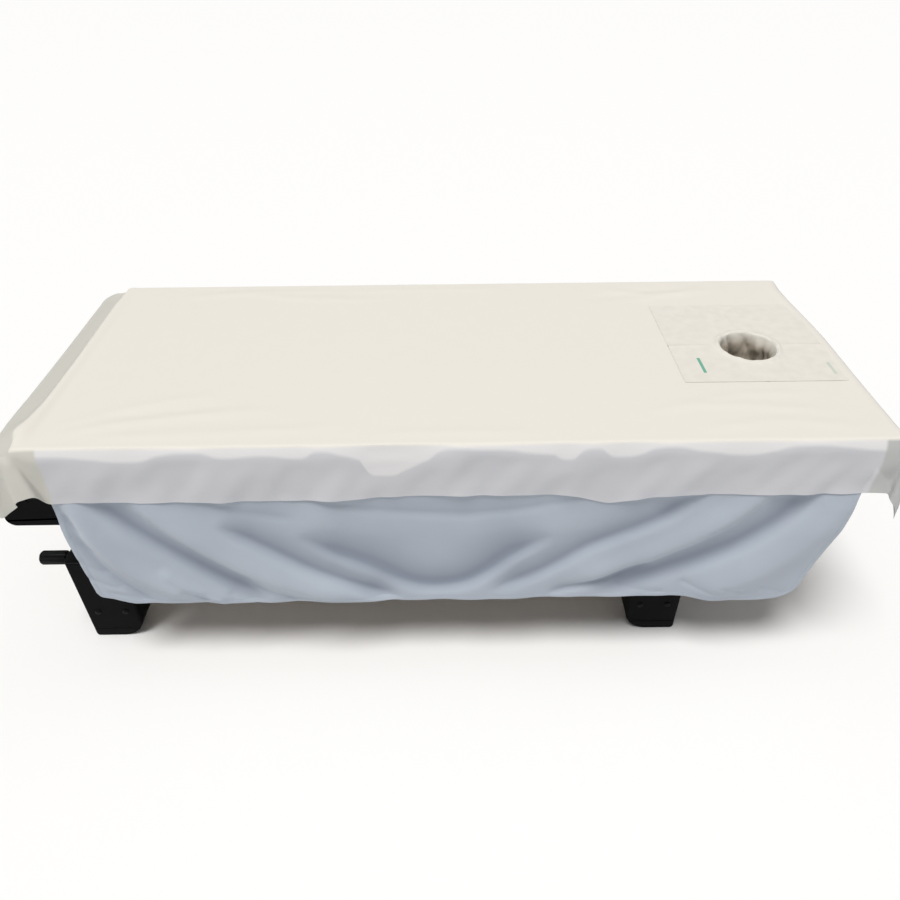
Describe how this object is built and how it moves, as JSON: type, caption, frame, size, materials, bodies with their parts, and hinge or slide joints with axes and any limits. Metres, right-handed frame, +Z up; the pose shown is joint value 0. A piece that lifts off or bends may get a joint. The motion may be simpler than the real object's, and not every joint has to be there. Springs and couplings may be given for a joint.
{
  "type": "dressed massage table with breathing hole",
  "caption": "Massage table with a padded deck and breathing hole, topper, draped sheet, disposable sheet and hole cover, on height-adjustable clamped legs.",
  "frame": {"origin": "on the floor, under the middle of the deck", "axes": "+X along the table to the head end, +Y across it to the back, +Z up"},
  "size_m": [1.9874, 0.79, 0.68],
  "materials": {
    "lacquered_wood": "black satin lacquer",
    "raw_wood": "bare plywood and softwood",
    "black_vinyl": "fine-grained black vinyl",
    "foam": "upholstery foam",
    "topper_foam": "soft foam",
    "cream_cloth": "brushed cotton",
    "blue_cloth": "pale blue woven sheet",
    "film": "thin translucent non-woven",
    "cover_cloth": "creased non-woven",
    "black_steel": "black powder coat",
    "zinc": "zinc plated",
    "black_plastic": "moulded, satin",
    "rubber": "matt"
  },
  "bodies": {
    "table": {"front_rail": "lacquered_wood", "back_rail": "lacquered_wood", "foot_rail": "lacquered_wood", "head_rail": "lacquered_wood", "corner_brackets": "zinc", "bracket_screws": "zinc", "frame_screws": "black_steel", "foot_leg_bearer": "raw_wood", "head_leg_bearer": "raw_wood", "deck_slats": "raw_wood", "deck_panel": "raw_wood", "deck_screws": "zinc", "hole_ring": "black_plastic", "hole_ring_screws": "zinc", "deck_foam": "foam", "vinyl_cover": "black_vinyl", "draped_sheet": "blue_cloth", "topper_foam": "topper_foam", "topper_cover": "cream_cloth", "disposable_sheet": "film", "face_hole_cover": "cover_cloth", "foot_front_post": "black_steel", "foot_back_post": "black_steel", "head_front_post": "black_steel", "head_back_post": "black_steel", "post_glides": "black_plastic", "post_bolts": "zinc"},
    "foot_end_legs": {"foot_front_leg": "lacquered_wood", "foot_back_leg": "lacquered_wood", "foot_leg_guides": "black_plastic", "foot_clamp_inserts": "zinc", "foot_crossbar": "lacquered_wood", "foot_crossbar_bolts": "black_steel", "foot_end_soles": "rubber", "foot_sole_screws": "zinc", "foot_guide_screws": "zinc"},
    "head_end_legs": {"head_front_leg": "lacquered_wood", "head_back_leg": "lacquered_wood", "head_leg_guides": "black_plastic", "head_clamp_inserts": "zinc", "head_crossbar": "lacquered_wood", "head_crossbar_bolts": "black_steel", "head_end_soles": "rubber", "head_sole_screws": "zinc", "head_guide_screws": "zinc"},
    "foot_front_knob": {"foot_front_knob_grip": "black_plastic", "foot_front_knob_screw": "zinc"},
    "foot_back_knob": {"foot_back_knob_grip": "black_plastic", "foot_back_knob_screw": "zinc"},
    "head_front_knob": {"head_front_knob_grip": "black_plastic", "head_front_knob_screw": "zinc"},
    "head_back_knob": {"head_back_knob_grip": "black_plastic", "head_back_knob_screw": "zinc"}
  },
  "joints": [
    {"name": "foot_end_height", "type": "slide", "parent": "table", "child": "foot_end_legs", "axis": [0, 0, -1], "range_m": [-0.04, 0.045]},
    {"name": "head_end_height", "type": "slide", "parent": "table", "child": "head_end_legs", "axis": [0, 0, -1], "range_m": [-0.04, 0.045]},
    {"name": "foot_front_knob_turn", "type": "hinge", "parent": "foot_end_legs", "child": "foot_front_knob", "pos_m": [-0.8575, -0.29, 0.26], "axis": [-1, 0, 0], "range_deg": [0, 720]},
    {"name": "foot_back_knob_turn", "type": "hinge", "parent": "foot_end_legs", "child": "foot_back_knob", "pos_m": [-0.8575, 0.29, 0.26], "axis": [-1, 0, 0], "range_deg": [0, 720]},
    {"name": "head_front_knob_turn", "type": "hinge", "parent": "head_end_legs", "child": "head_front_knob", "pos_m": [0.5705, -0.29, 0.26], "axis": [1, 0, 0], "range_deg": [0, 720]},
    {"name": "head_back_knob_turn", "type": "hinge", "parent": "head_end_legs", "child": "head_back_knob", "pos_m": [0.5705, 0.29, 0.26], "axis": [1, 0, 0], "range_deg": [0, 720]}
  ]
}
